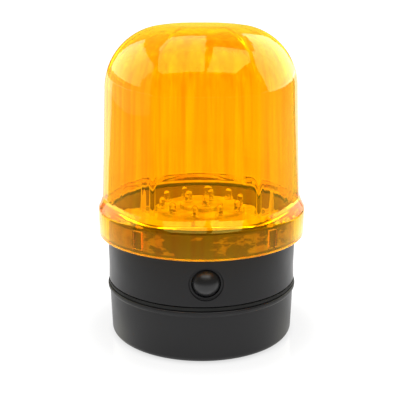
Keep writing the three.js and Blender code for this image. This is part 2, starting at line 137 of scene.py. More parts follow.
def lathe(profile, sides, loop=False, shape=None):
    """A solid of revolution. shape(angle, index, radius, height) may move each point."""
    bm = bmesh.new()
    rows = []
    for index, (r, z) in enumerate(profile):
        if r < 1e-6:
            rows.append([bm.verts.new((0, 0, z))])
            continue
        row = []
        for k in range(sides):
            angle = TAU * k / sides
            radius, height = (r, z) if shape is None else shape(angle, index, r, z)
            row.append(bm.verts.new((radius * math.sin(angle), -radius * math.cos(angle), height)))
        rows.append(row)
    pairs = list(zip(rows, rows[1:])) + ([(rows[-1], rows[0])] if loop else [])
    for low, high in pairs:
        for k in range(sides):
            n = (k + 1) % sides
            if len(low) == 1:
                bm.faces.new((low[0], high[n], high[k]))
            elif len(high) == 1:
                bm.faces.new((low[k], low[n], high[0]))
            else:
                bm.faces.new((low[k], low[n], high[n], high[k]))
    bmesh.ops.recalc_face_normals(bm, faces=bm.faces)
    return bm


def block(x0, x1, y0, y1, z0, z1, bevel):
    bm = bmesh.new()
    bmesh.ops.create_cube(bm, size=1)
    for v in bm.verts:
        x, y, z = v.co
        v.co = (x0 + (x + 0.5) * (x1 - x0), y0 + (y + 0.5) * (y1 - y0), z0 + (z + 0.5) * (z1 - z0))
    if bevel:
        bmesh.ops.bevel(bm, geom=bm.edges[:], offset=bevel, segments=2, profile=0.5, affect="EDGES")
    return bm


def tube(points, radius, sides, capped=True):
    """A round tube along a line of points, with a frame carried along it so that it never twists."""
    points = [Vector(p) for p in points]
    bm = bmesh.new()
    rows = []
    normal = None
    for i, here in enumerate(points):
        ahead = (points[min(i + 1, len(points) - 1)] - points[max(i - 1, 0)]).normalized()
        if normal is None:
            normal = ahead.orthogonal().normalized()
        normal = (normal - ahead * normal.dot(ahead)).normalized()
        side = ahead.cross(normal)
        rows.append([
            bm.verts.new(here + (normal * math.cos(TAU * k / sides) + side * math.sin(TAU * k / sides)) * radius)
            for k in range(sides)
        ])
    for low, high in zip(rows, rows[1:]):
        for k in range(sides):
            n = (k + 1) % sides
            bm.faces.new((low[k], low[n], high[n], high[k]))
    if capped:
        bm.faces.new(rows[0])
        bm.faces.new(rows[-1])
    bmesh.ops.recalc_face_normals(bm, faces=bm.faces)
    return bm


def smooth_line(stations, steps):
    """Points along a Catmull-Rom line through the stations."""
    points = [Vector(s) for s in stations]
    points = [points[0] * 2 - points[1], *points, points[-1] * 2 - points[-2]]
    out = []
    for i in range(1, len(points) - 2):
        a, b, c, d = points[i - 1:i + 3]
        square, cube = 2 * a - 5 * b + 4 * c - d, 3 * b - a - 3 * c + d
        for k in range(steps):
            t = k / steps
            out.append(0.5 * ((2 * b) + (c - a) * t + square * t * t + cube * t ** 3))
    out.append(points[-2])
    return out


def moved(bm, x=0.0, y=0.0, z=0.0, turn=None):
    if turn is not None:
        bmesh.ops.transform(bm, matrix=turn, verts=bm.verts)
    bmesh.ops.translate(bm, vec=(x, y, z), verts=bm.verts)
    return bm


def turned_to(bm, angle):
    """Turns a body made on the -Y side to an angle about Z."""
    return moved(bm, turn=Matrix.Rotation(math.radians(angle), 4, "Z"))


def merged(*parts):
    """One bmesh that holds several closed ones side by side."""
    whole = bmesh.new()
    for part in parts:
        mesh = bpy.data.meshes.new("part")
        part.to_mesh(mesh)
        part.free()
        whole.from_mesh(mesh)
        bpy.data.meshes.remove(mesh)
    return whole


def plain_object(name, bm):
    mesh = bpy.data.meshes.new(name)
    bm.to_mesh(mesh)
    bm.free()
    obj = bpy.data.objects.new(name, mesh)
    bpy.context.scene.collection.objects.link(obj)
    return obj


def apply_modifiers(obj):
    graph = bpy.context.evaluated_depsgraph_get()
    mesh = bpy.data.meshes.new_from_object(obj.evaluated_get(graph))
    obj.modifiers.clear()
    obj.data = mesh
    return obj


def combined(bm, tool, operation):
    """The union, difference or intersection of two closed bodies."""
    obj = plain_object("work", bm)
    other = plain_object("tool", tool)
    step = obj.modifiers.new("cut", "BOOLEAN")
    step.operation = operation
    step.solver = "MANIFOLD"
    step.object = other
    apply_modifiers(obj)
    out = bmesh.new()
    out.from_mesh(obj.data)
    bpy.data.objects.remove(obj)
    bpy.data.objects.remove(other)
    return out


def joined(bm, *others):
    """The union of closed bodies, one after the other."""
    for other in others:
        bm = combined(bm, other, "UNION")
    return bm


def drilled(bm, holes):
    """A body less several closed ones that do not meet each other."""
    return combined(bm, merged(*holes), "DIFFERENCE")


def rod(radius, low, high, sides=32):
    return lathe([(0, low), (radius, low), (radius, high), (0, high)], sides)


def placed(bm, radius, angle):
    at = around(radius, angle)
    return moved(bm, at.x, at.y)


def rods(radius, low, high, circle, angles):
    """Upright rods at angles on a circle of that radius."""
    return [placed(rod(radius, low, high), circle, a) for a in angles]


def rod_pair(radius, low, high, x, y=0.0):
    """Upright rods on the left and the right."""
    return [moved(rod(radius, low, high), side * x, y) for side in (-1, 1)]


def facing(bm):
    """Turns a body made along +Z to point at -Y, at the button's height."""
    return moved(bm, z=BUTTON_HEIGHT, turn=FACING_BUTTON)


def piece(name, bm, material, body="housing", nodes=(), sharp=32, bevel=0.0):
    """A finished piece from a mesh in millimetres. sharp is an angle in degrees, and bevel a width."""
    bmesh.ops.scale(bm, vec=(MM, MM, MM), verts=bm.verts)
    bmesh.ops.remove_doubles(bm, verts=bm.verts, dist=1e-7)
    obj = plain_object(name, bm)
    obj.data.polygons.foreach_set("use_smooth", [True] * len(obj.data.polygons))
    if bevel:
        step = obj.modifiers.new("edge", "BEVEL")
        step.width = bevel * MM
        step.segments = 2
        step.limit_method = "ANGLE"
        step.angle_limit = math.radians(BEVEL_ANGLE)
        apply_modifiers(obj)
    obj.data.set_sharp_from_angle(angle=math.radians(sharp))
    step = obj.modifiers.new("flat", "WEIGHTED_NORMAL")
    step.keep_sharp = True
    apply_modifiers(obj)
    obj.data.materials.clear()
    obj.data.materials.append(material)
    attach(obj, body)
    if nodes:
        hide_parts(*([nodes] if isinstance(nodes, str) else nodes))
    return obj


# ---- material tools ------------------------------------------------------------------------------------------
def node_math(tree, operation, a, b=0.0):
    made = tree.nodes.new("ShaderNodeMath")
    made.operation = operation
    for socket, value in zip(made.inputs, (a, b)):
        if isinstance(value, (int, float)):
            socket.default_value = value
        else:
            tree.links.new(value, socket)
    return made.outputs["Value"]


def node_turn(tree, place):
    """A place's angle about Z, in radians from -Y towards +X."""
    split = tree.nodes.new("ShaderNodeSeparateXYZ")
    tree.links.new(place, split.inputs["Vector"])
    return node_math(tree, "ARCTAN2", split.outputs["X"], node_math(tree, "MULTIPLY", split.outputs["Y"], -1.0))


class Look:
    """A material with one Principled shader, and short ways to drive its sockets with noise."""

    def __init__(self, name, colour, roughness, metallic=0.0, ior=1.5, specular=0.5):
        self.material = bpy.data.materials.new(name)
        self.material.use_nodes = True
        self.tree = self.material.node_tree
        self.shader = self.tree.nodes["Principled BSDF"]
        self.out = self.tree.nodes["Material Output"]
        self.place = self.node("ShaderNodeTexCoord").outputs["Object"]
        self.set("Base Color", (*colour, 1))
        self.set("Roughness", roughness)
        self.set("Metallic", metallic)
        self.set("IOR", ior)
        self.set("Specular IOR Level", specular)

    def node(self, kind, **values):
        made = self.tree.nodes.new(kind)
        for key, value in values.items():
            setattr(made, key, value)
        return made

    def link(self, source, target):
        self.tree.links.new(source, target)

    def set(self, socket, value):
        self.shader.inputs[socket].default_value = value

    def noise(self, scale, detail=3.0, stretch=(1, 1, 1), rough=0.5):
        mapping = self.node("ShaderNodeMapping")
        self.link(self.place, mapping.inputs["Vector"])
        mapping.inputs["Scale"].default_value = stretch
        made = self.node("ShaderNodeTexNoise")
        self.link(mapping.outputs["Vector"], made.inputs["Vector"])
        made.inputs["Scale"].default_value = scale
        made.inputs["Detail"].default_value = detail
        made.inputs["Roughness"].default_value = rough
        return made.outputs["Fac"]

    def cell_edges(self, scale):
        """Distance to the nearest border between random cells."""
        made = self.node("ShaderNodeTexVoronoi", feature="DISTANCE_TO_EDGE")
        self.link(self.place, made.inputs["Vector"])
        made.inputs["Scale"].default_value = scale
        return made.outputs["Distance"]

    def axis(self, name):
        split = self.node("ShaderNodeSeparateXYZ")
        self.link(self.place, split.inputs["Vector"])
        return split.outputs[name]

    def turn(self):
        return node_turn(self.tree, self.place)

    def math(self, operation, a, b=0.0):
        return node_math(self.tree, operation, a, b)

    def remap(self, value, low, high, to_low=0.0, to_high=1.0):
        """An eased step: to_low at low, to_high at high."""
        made = self.node("ShaderNodeMapRange", interpolation_type="SMOOTHSTEP")
        self.link(value, made.inputs["Value"])
        limits = {"From Min": low, "From Max": high, "To Min": to_low, "To Max": to_high}
        for socket, number in limits.items():
            made.inputs[socket].default_value = number
        return made.outputs["Result"]

    def blend(self, share, a, b):
        """A mix of two colours, each a tuple or a socket."""
        made = self.node("ShaderNodeMix", data_type="RGBA")
        self.link(share, made.inputs[0])
        for socket, value in zip((made.inputs[6], made.inputs[7]), (a, b)):
            if isinstance(value, tuple):
                socket.default_value = (*value, 1)
            else:
                self.link(value, socket)
        return made.outputs[2]

    def mix_surface(self, share, first, second):
        """Sets the surface to a mix of two shaders."""
        mix = self.node("ShaderNodeMixShader")
        for socket, source in zip(mix.inputs, (share, first, second)):
            self.link(source, socket)
        self.link(mix.outputs["Shader"], self.out.inputs["Surface"])

    def colour(self, source):
        self.link(source, self.shader.inputs["Base Color"])

    def roughness(self, value, low, high):
        """Roughness from low to high over the middle of a noise."""
        self.link(self.remap(value, 0.3, 0.7, low, high), self.shader.inputs["Roughness"])

    def bump(self, height, strength, distance):
        made = self.node("ShaderNodeBump")
        made.inputs["Strength"].default_value = strength
        made.inputs["Distance"].default_value = distance
        self.link(height, made.inputs["Height"])
        self.link(made.outputs["Normal"], self.shader.inputs["Normal"])

    def radius(self):
        flat = self.math("ADD", self.math("POWER", self.axis("X"), 2.0), self.math("POWER", self.axis("Y"), 2.0))
        return self.math("SQRT", flat)


def amber_lens():
    """Clear amber plastic that absorbs along the way and lets tinted light through to what it covers."""
    look = Look("amber_lens", (0.965, 0.6, 0.004), 0.012, ior=1.5)
    look.set("Transmission Weight", 1.0)
    look.set("Specular Tint", (1.0, 0.95, 0.15, 1))
    look.set("Sheen Weight", 0.25)
    look.set("Sheen Roughness", 0.4)
    look.set("Sheen Tint", (1.0, 0.8, 0.1, 1))
    flow = look.noise(300, 3, (1, 1, 0.008))
    look.colour(look.blend(look.remap(flow, 0.36, 0.64), (0.965, 0.485, 0.003), (0.965, 0.66, 0.003)))
    look.bump(look.noise(150, 2, (1, 1, 0.012)), 0.5, 0.00025)
    absorb = look.node("ShaderNodeVolumeAbsorption")
    absorb.inputs["Color"].default_value = (0.999, 0.9556, 0.0, 1)
    absorb.inputs["Density"].default_value = 220.0
    look.link(absorb.outputs["Volume"], look.out.inputs["Volume"])
    clear = look.node("ShaderNodeBsdfTransparent")
    clear.inputs["Color"].default_value = (0.98, 0.8, 0.1, 1)
    shadow = look.node("ShaderNodeLightPath").outputs["Is Shadow Ray"]
    look.mix_surface(shadow, look.shader.outputs["BSDF"], clear.outputs["BSDF"])
    return look.material


def black_plastic():
    look = Look("black_plastic", (0.007, 0.007, 0.0075), 0.36, ior=1.46, specular=0.32)
    grain = look.noise(900, 4)
    patches = look.noise(38, 3)
    look.roughness(patches, 0.33, 0.44)
    look.colour(look.blend(patches, (0.006, 0.006, 0.0065), (0.0095, 0.009, 0.0095)))
    look.bump(grain, 0.12, 0.0001)
    return look


def housing_plastic():
    """Black plastic with its neck painted paler, as painted light for the glow it shows through the amber, and smears
    of sealing grease outside on it.
    """
    look = black_plastic()
    look.material.name = "black_plastic_housing"
    height = look.axis("Z")
    foot, top = look.remap(height, 0.0522, 0.0530), look.remap(height, 0.0612, 0.0620, 1.0, 0.0)
    on_neck = look.math("MULTIPLY", foot, top)
    outside = look.math("MULTIPLY", on_neck, look.remap(look.radius(), 0.0449, 0.0452))
    blotch = look.noise(85, 5, (1, 1, 2.2), 0.65)
    sides = look.remap(look.math("ABSOLUTE", look.turn()), 0.35, 0.75)
    smear = look.math("ADD", blotch, look.math("MULTIPLY", sides, 0.16))
    smear = look.math("MULTIPLY", look.remap(smear, 0.52, 0.6), outside)
    base = look.shader.inputs["Base Color"].links[0].from_socket
    thin = look.blend(look.noise(260, 3), (0.2, 0.16, 0.09), (0.6, 0.5, 0.28))
    # painted light: the neck's inner face, and more faintly its outer face, are painted paler than the black plastic
    faces = look.blend(look.remap(look.radius(), 0.0440, 0.0444), (0.3, 0.25, 0.17), (0.14, 0.13, 0.11))
    neck = look.blend(look.remap(height, 0.0513, 0.0515), base, faces)
    look.colour(look.blend(smear, neck, thin))
    return look.material


def button_plastic():
    look = Look("button_plastic", (0.008, 0.008, 0.0085), 0.3, ior=1.47, specular=0.5)
    look.roughness(look.noise(60, 3), 0.27, 0.36)
    look.bump(look.noise(1200, 3), 0.08, 0.0001)
    return look.material


def rubber(name, colour, scale):
    look = Look(name, colour, 0.72, ior=1.5, specular=0.3)
    speckle = look.noise(scale, 4)
    look.colour(look.blend(speckle, colour, tuple(1.7 * c for c in colour)))
    look.roughness(look.noise(60, 3), 0.62, 0.82)
    look.bump(speckle, 0.35, 0.00015)
    return look.material


def white_plastic():
    look = Look("white_plastic", (0.86, 0.85, 0.81), 0.3, ior=1.5)
    cloud = look.noise(45, 3)
    look.colour(look.blend(cloud, (0.82, 0.8, 0.74), (0.9, 0.89, 0.85)))
    look.roughness(cloud, 0.25, 0.4)
    look.bump(look.noise(700, 3), 0.1, 0.0001)
    return look.material


def frosted_plastic():
    """The lamps' holder: a duller white with clouds and a rough face."""
    look = Look("white_plastic_holder", (0.6, 0.58, 0.52), 0.45, ior=1.5)
    cloud = look.noise(110, 4)
    face = look.blend(look.remap(cloud, 0.35, 0.65), (0.42, 0.4, 0.34), (0.72, 0.7, 0.64))
    look.colour(look.blend(look.remap(look.axis("Z"), 0.0595, 0.0625), (0.9, 0.88, 0.82), face))
    look.roughness(cloud, 0.35, 0.55)
    look.bump(look.noise(500, 3), 0.3, 0.0002)
    return look.material


def board(name, mask, trace):
    """Solder mask over copper traces, with a slight orange-peel gloss."""
    look = Look(name, mask, 0.35, ior=1.52)
    on = look.remap(look.cell_edges(160.0), 0.06, 0.09, 1.0, 0.0)
    look.colour(look.blend(on, mask, trace))
    look.roughness(look.noise(300, 2), 0.28, 0.42)
    look.bump(on, 0.3, 0.00004)
    return look.material


def clear_epoxy():
    look = Look("clear_epoxy", (1.0, 0.985, 0.95), 0.01, ior=1.53)
    look.set("Transmission Weight", 1.0)
    look.bump(look.noise(500, 2), 0.08, 0.0001)
    return look.material


def metal(name, colour, low, high, scale=400.0, metallic=1.0):
    look = Look(name, colour, low, metallic)
    grain = look.noise(scale, 4)
    look.roughness(grain, low, high)
    look.colour(look.blend(look.noise(90, 3), tuple(0.82 * c for c in colour), colour))
    look.bump(grain, 0.12, 0.00008)
    return look.material


def ferrite():
    look = Look("ferrite", (0.035, 0.035, 0.038), 0.6, 0.25)
    grain = look.noise(1500, 5)
    look.colour(look.blend(grain, (0.02, 0.02, 0.022), (0.07, 0.07, 0.075)))
    look.roughness(grain, 0.5, 0.72)
    look.bump(grain, 0.4, 0.00012)
    return look.material


def cell_jacket():
    """A printed wrap in two colours along the cell, with a bright band between them."""
    look = Look("cell_jacket", (0.05, 0.15, 0.4), 0.3, ior=1.5)
    along = look.math("ABSOLUTE", look.axis("X"))
    gold = look.remap(along, 0.0148, 0.0149)
    not_gold = look.remap(along, 0.0148, 0.0149, 1.0, 0.0)
    band = look.math("MULTIPLY", look.remap(along, 0.0139, 0.014), not_gold)
    body = look.blend(look.noise(200, 2), (0.03, 0.1, 0.33), (0.05, 0.15, 0.42))
    two = look.blend(gold, body, (0.55, 0.3, 0.08))
    look.colour(look.blend(band, two, (0.75, 0.75, 0.74)))
    look.roughness(look.noise(160, 3), 0.2, 0.34)
    look.bump(look.noise(120, 2, (0.2, 1, 1)), 0.1, 0.0002)
    return look.material


def sleeve():
    """The capacitor's shrunk film, with one paler stripe or more."""
    look = Look("capacitor_sleeve", (0.015, 0.02, 0.09), 0.3)
    stripe = look.remap(look.noise(30, 1, (0.2, 1, 0.01)), 0.48, 0.5)
    look.colour(look.blend(stripe, (0.012, 0.018, 0.08), (0.03, 0.04, 0.14)))
    look.roughness(look.noise(220, 3), 0.22, 0.38)
    look.bump(look.noise(300, 2), 0.1, 0.0001)
    return look.material


def enamel():
    """The choke's lacquered copper wire."""
    look = Look("copper_wire", (0.62, 0.24, 0.07), 0.28, 0.9)
    look.colour(look.blend(look.noise(300, 3), (0.45, 0.16, 0.045), (0.72, 0.3, 0.1)))
    look.roughness(look.noise(500, 3), 0.2, 0.38)
    look.bump(look.noise(900, 2), 0.2, 0.0001)
    return look.material


def coated(name, colour, low=0.35, high=0.5):
    """A plain moulded or drawn plastic."""
    look = Look(name, colour, low)
    look.colour(look.blend(look.noise(150, 3), tuple(0.75 * c for c in colour), colour))
    look.roughness(look.noise(240, 3), low, high)
    look.bump(look.noise(800, 3), 0.12, 0.0001)
    return look.material


AMBER = amber_lens()
BLACK = black_plastic().material
HOUSING = housing_plastic()
BUTTON = button_plastic()
FOOT = rubber("foot_rubber", (0.014, 0.014, 0.0145), 700)
SEAL = rubber("seal_rubber", (0.005, 0.0052, 0.0048), 900)
GASKET = rubber("gasket_rubber", (0.075, 0.085, 0.045), 900)
WHITE = white_plastic()
HOLDER = frosted_plastic()
WHITE_BOARD = board("white_board", (0.82, 0.82, 0.78), (0.7, 0.7, 0.64))
GREEN_BOARD = board("green_board", (0.01, 0.12, 0.035), (0.03, 0.22, 0.06))
EPOXY = clear_epoxy()
FERRITE = ferrite()
ZINC = metal("zinc_steel", (0.62, 0.64, 0.66), 0.28, 0.45, scale=500.0)
SCREW = metal("dark_screw", (0.1, 0.1, 0.105), 0.25, 0.4, metallic=0.9)
NICKEL = metal("nickel", (0.72, 0.7, 0.66), 0.15, 0.3)
JACKET = cell_jacket()
SLEEVE = sleeve()
COPPER = enamel()
CHIP = coated("chip_epoxy", (0.018, 0.018, 0.02), 0.45, 0.62)
RED = coated("red_wire", (0.5, 0.02, 0.015))
DARK = coated("dark_wire", (0.014, 0.014, 0.015))
PALE = coated("white_wire", (0.75, 0.73, 0.68))


# ---- lens ------------------------------------------------------------------------------------------------------
def panel_share(angle):
    """Distance of a panel from the axis as a share of its creases' distance."""
    step = TAU / PANELS
    off = angle - step * round(angle / step)
    reach = math.cos(step / 2) - math.sqrt(PANEL_ARC ** 2 - math.sin(step / 2) ** 2)
    return reach * math.cos(off) + math.sqrt(PANEL_ARC ** 2 - (reach * math.sin(off)) ** 2)


def soft_share(angle):
    """The panels' share with each crease rounded over a little more than a degree."""
    spread = [math.radians(d) for d in (-1.2, -0.6, 0.0, 0.6, 1.2)]
    return sum(panel_share(angle + d) for d in spread) / len(spread)


def make_lens():
    shares = [soft_share(TAU * k / LENS_SIDES) for k in range(LENS_SIDES)]
    axis = WALL_TOP_RADIUS - CORNER
    rows = [(r, LENS_TOP, 1.0) for r in (0, 3, 6, 9, 12, 14)]  # radius, height, how far the panels flatten it
    rows += [(*p, 1.0) for p in arc(axis, WALL_TOP, CORNER, 90, 0, 24)]
    for i in range(1, 13):
        t = i / 13
        rows.append((between(WALL_TOP_RADIUS, WALL_FOOT_RADIUS, t), between(WALL_TOP, LENS_FOOT, t), 1.0))
    bend, edge = (48.9, 66.7), (49.9, 64.6)  # the ledge runs from the wall's foot to the flange's edge
    for i in range(9):
        t = i / 8
        share = (1 - t) ** 2
        r = WALL_FOOT_RADIUS * share + bend[0] * 2 * t * (1 - t) + edge[0] * t * t
        z = LENS_FOOT * share + bend[1] * 2 * t * (1 - t) + edge[1] * t * t
        rows.append((r, z, (1 - t) * WALL_FOOT_RADIUS / r))
    waist = 56  # where the flange's foot is joined to its sides
    flange = [(50.07, 64.3), (50.17, 63.9), (FLANGE_RADIUS, 63.4), (FLANGE_RADIUS, waist)]
    lip = [(FLANGE_RADIUS, waist), (FLANGE_RADIUS, FLANGE_FOOT), (FLANGE_INSIDE, FLANGE_FOOT), (FLANGE_INSIDE, waist)]
    rows += [(*p, 0.0) for p in flange + rounded(lip, 0.5)[1:-1]]
    foot, head = WALL_FOOT_RADIUS - LENS_WALL, WALL_TOP_RADIUS - LENS_WALL
    ceiling = [(FLANGE_INSIDE, waist), (FLANGE_INSIDE, FLANGE_CEILING), (foot, FLANGE_CEILING), (foot, 67)]
    rows += [(*p, 1.0 if p[0] < foot + 1 else 0.0) for p in rounded(ceiling, 0.35)[1:-1]]
    for i in range(1, 12):
        t = i / 12
        rows.append((between(foot, head, t), between(FLANGE_CEILING, WALL_TOP, t), 1.0))
    inner = arc(axis, WALL_TOP, CORNER - LENS_WALL, 0, 90, 20)
    rows += [(*p, 1.0) for p in inner + [(r, inner[-1][1]) for r in (9, 5, 0)]]
    profile = [(r, z) for r, z, _ in rows]
    weight = [w for _, _, w in rows]

    def shape(angle, index, r, z):
        share = shares[round(angle / TAU * LENS_SIDES) % LENS_SIDES]
        return r * (1 - weight[index] * (1 - share)), z

    shell = lathe(profile, LENS_SIDES, shape=shape)
    ribs = merged(*(turned_to(block(-2.4, 2.4, -47.1, -44.6, 53, 61.5, 0.2), a) for a in NOTCHES))
    piece("lens_dome_fine", joined(shell, ribs), AMBER, "lens", "lens_dome", sharp=38)


make_lens()


# ---- rings and base --------------------------------------------------------------------------------------------
def ring_piece(name, inner, outer, low, high, material, body, node, rounding):
    section = rounded([(inner, low), (outer, low), (outer, high), (inner, high)], rounding, loop=True)
    piece(name, lathe(section, 192, loop=True), material, body, node)


ring_piece("lens_gasket_fine", 43.4, 45.5, 62.7, 63.9, GASKET, "lens", "lens_gasket", 0.3)
ring_piece("body_seal_fine", 43.8, 46.1, 26.3, 27.9, SEAL, "seal", "body_seal", 0.5)
ring_piece("ring_magnet_fine", 7, 28.5, 2.5, 8.5, FERRITE, "base", "ring_magnet", 0.5)


def make_base():
    section = [  # the floor's underside, the foot ring, the outer wall with its bead, and back inside
        (0, 10.1), (36.5, 10.1), (36.5, 2.5), (38.3, 2.5), (38.3, 0.5), *arc(42.4, 3.1, 2.6, -90, 0, 8),
        (45.7, 23.6), (46.6, 24.3), (46.6, 25.6), (46.2, 26), (43.5, 26), (43.1, 13), (42.5, 12.4), (0, 12.4),
    ]
    cup = lathe(rounded(section, 0.45), 192)
    cup = joined(cup, merged(*rods(3, 11.4, 13.6, MAGNET_SCREW_CIRCLE, MAGNET_SCREWS)))
    cup = drilled(cup, rods(1.6, 9, 13.2, MAGNET_SCREW_CIRCLE, MAGNET_SCREWS))
    piece("battery_cup_fine", cup, BLACK, "base", "battery_cup", bevel=0.12)
    pad = [(0, 0)]
    for groove in (11, 23, 33):
        pad += [(groove, 0), (groove + 0.5, 0.35), (groove + 1.5, 0.35), (groove + 2, 0)]
    pad += [(37.2, 0), (38, 0.8), (38, 2.2), (0, 2.2)]
    piece("foot_pad_fine", lathe(rounded(pad, 0.25), 160), FOOT, "base", "foot_pad")
    plate = lathe(rounded([(0, 8.8), (36.2, 8.8), (36.2, 9.8), (0, 9.8)], 0.2), 128)
    plate = drilled(plate, rods(1.6, 8, 11, MAGNET_SCREW_CIRCLE, MAGNET_SCREWS))
    piece("magnet_plate_fine", plate, ZINC, "base", "magnet_plate")


make_base()


# ---- screws ----------------------------------------------------------------------------------------------------
def screw_mesh(head, height, shank, length):
    """A pan-head screw with a cross recess and a rolled thread, head up, underside of the head at zero."""
    pitch, root, brim = 0.6, shank * 0.78, height * 0.45
    profile = [(0, -length), (shank * 0.35, -length)]
    z = -length + 0.5
    for _ in range(int((length - 1) / pitch)):
        profile += [(root, z), (shank, z + 0.2), (shank, z + 0.3), (root, z + 0.5)]
        z += pitch
    profile += [(shank * 0.8, 0), (head, 0), (head, brim)]
    profile += [(head * math.cos(t), height * (0.45 + 0.55 * math.sin(t))) for t in (0.35, 0.7, 1.05, 1.3)]
    profile += [(0, height)]
    reach, half = head * 0.55, head * 0.13
    cross = joined(
        block(-reach, reach, -half, half, brim, height + 1, 0),
        block(-half, half, -reach, reach, brim, height + 1, 0),
    )
    return combined(lathe(profile, 28), cross, "DIFFERENCE")


def screws(material, names, shape, places, body, flip=False):
    """Screws at places; shape is the head's radius and height, the thread's radius and its length."""
    for name, (x, y, z) in zip(names, places):
        bm = screw_mesh(*shape)
        turn = Matrix.Rotation(rng.uniform(0, math.pi), 4, "Z")
        bm = moved(bm, x, y, z, (UPSIDE_DOWN @ turn) if flip else turn)
        piece(f"{name}_fine", bm, material, body, name)


screws(SCREW, [f"magnet_screw_{i + 1}" for i in range(3)], (2.8, 1.8, 1.3, 4.4),
       [around(MAGNET_SCREW_CIRCLE, a, 8.5) for a in MAGNET_SCREWS], "base", True)
screws(ZINC, [f"deck_screw_{i + 1}" for i in range(3)], (2.7, 1.6, 1.2, 6.6),
       [around(DECK_SCREW_CIRCLE, a, 54.9) for a in DECK_POSTS], "housing")
screws(SCREW, ["tray_screw_left", "tray_screw_right"], (2.8, 1.7, 1.3, 10.0),
       [(-TRAY_SCREW_X, 0, 29.0), (TRAY_SCREW_X, 0, 29.0)], "housing", True)
screws(SCREW, ["board_screw_left", "board_screw_right"], (2.5, 1.4, 1.1, 7.0),
       [(-BOARD_SCREW_X, BOARD_SCREW_Y, 45.9), (BOARD_SCREW_X, BOARD_SCREW_Y, 45.9)], "housing")


# ---- housing ---------------------------------------------------------------------------------------------------
def make_housing():
    section = [  # the wall, the neck above it, and inside them the ledge under the deck
        (43.2, 28.2), (45.6, 28.2), (46, 28.6), (45.8, 36), (46, 51.2), (45.7, 51.2), (45.7, 62.4), (43.2, 62.4),
        (43.2, 51.7), (41.2, 51.7), (41.2, 50.1), (43.2, 48.1),
    ]
    body = lathe(rounded(section, 0.35, loop=True), 240, loop=True)
    added = []
    for side in (-1, 1):
        added.append(moved(rod(3.2, 31.6, 43), side * TRAY_SCREW_X))
        near, far = sorted((side * (TRAY_SCREW_X + 1), side * 43.8))
        added.append(block(near, far, -1, 1, 31.6, 43, 0))
    for angle in DECK_POSTS:
        added.append(placed(rod(3.2, 46.6, 51.7), DECK_SCREW_CIRCLE, angle))
        added.append(turned_to(block(-1, 1, -43.8, -35, 46.6, 50.5, 0), angle))
    lug = turned_to(block(-1.9, 1.9, -49.3, -45, 48.2, 50.9, 0.5), -92)
    body = joined(body, *added, lug)
    dish = [(0, 44.6), (7.5, 44.6), (7.9, 45.0), (8.3, 60), (0, 60)]
    for hole in (lathe(dish, 64), rod(6.7, 38, 44.7, 64)):  # the recess round the button, and the button's hole
        body = combined(body, facing(hole), "DIFFERENCE")
    cuts = rod_pair(1.8, 31, 40, TRAY_SCREW_X) + rods(1.6, 47.8, 53, DECK_SCREW_CIRCLE, DECK_POSTS)
    cuts += [turned_to(block(-2.7, 2.7, -48, -44.3, 52, 63.4, 0), a) for a in NOTCHES]
    body = drilled(body, cuts)
    piece("upper_body_fine", body, HOUSING, "housing", "upper_body", bevel=0.18)


make_housing()


def make_button():
    section = [(0, 41), (7.3, 41), (7.3, 42.1), (6.4, 42.1), (6.4, 44.2)]
    section += [(r, h - 0.1) for r, h in arc(0, 41.2, 7.1, 28, 90, 10)]
    section[-1] = (0, section[-1][1])
    button = facing(lathe(rounded(section, 0.3), 64))
    piece("power_button_fine", button, BUTTON, "button", "power_button", sharp=40)
    plunger = facing(lathe(rounded([(0, 33.5), (2.3, 33.5), (2.3, 40.7), (0, 40.7)], 0.3), 32))
    piece("switch_plunger_fine", plunger, WHITE, "plunger", "switch_plunger")
    coil = [
        (3.9 * math.cos(TAU * 3 * t), -40.3 + 3 * t, BUTTON_HEIGHT + 3.9 * math.sin(TAU * 3 * t))
        for t in (i / 96 for i in range(97))
    ]
    spring = piece("button_spring_fine", tube(coil, 0.35, 10), NICKEL, "housing", "button_spring")
    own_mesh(spring)
    pins = merged(*(block(x - 0.5, x + 0.5, -25, -21.5, 38.5, 40.5, 0.1) for x in (-3, 3)))
    case = joined(block(-5.8, 5.8, -36.5, -24.5, 33.4, 45, 0.4), pins)
    case = combined(case, facing(rod(2.9, 28.5, 40)), "DIFFERENCE")
    piece("switch_body_fine", case, CHIP, "housing", "switch_body")


make_button()


# ---- deck, board and lamps -------------------------------------------------------------------------------------
def make_deck():
    section = [(0, 52), (42.9, 52), (42.9, 54.2), (41.8, 54.2), (41.2, 53.6), (0, 53.6)]
    deck = lathe(rounded(section, 0.2), 192)
    for angle in DECK_POSTS:
        seat = rod(3.9, 52.6, 54.6, 48)
        spire = lathe(rounded([(0, 52.6), (2, 52.6), (2, 53.9), (0.6, 66.2), (0.3, 66.4), (0, 66.4)], 0.2), 24)
        deck = joined(deck, placed(seat, DECK_SCREW_CIRCLE, angle), placed(spire, 39.4, angle))
    deck = drilled(deck, rods(1.6, 50, 60, DECK_SCREW_CIRCLE, DECK_POSTS) + [rod(3, 50, 60)])
    piece("reflector_deck_fine", deck, WHITE, "housing", "reflector_deck", bevel=0.1)
    led_board = lathe(rounded([(0, 53.9), (23.4, 53.9), (23.4, 55.5), (0, 55.5)], 0.15), 128)
    piece("led_board_fine", led_board, WHITE_BOARD, "housing", "led_board")
    holder = [(0, 55.8), (21.8, 55.8), (21.8, 62), (21.2, 62.9), (0, 62.9)]
    holder = lathe(rounded(holder, 0.3), 128)

    def flute(angle, index, r, z):
        wave = 0.22 * math.cos(angle * DRUM_FLUTES) if index in (1, 2) else 0
        return r + wave, z

    side, rim = DRUM_RADIUS - 0.25, DRUM_RADIUS - 0.6
    drum = lathe([(0, 61), (side, 61), (side, 64.5), (rim, DRUM_TOP), (0, DRUM_TOP)], DRUM_FLUTES * 6, shape=flute)
    piece("led_holder_fine", joined(holder, drum), HOLDER, "housing", "led_holder")


make_deck()


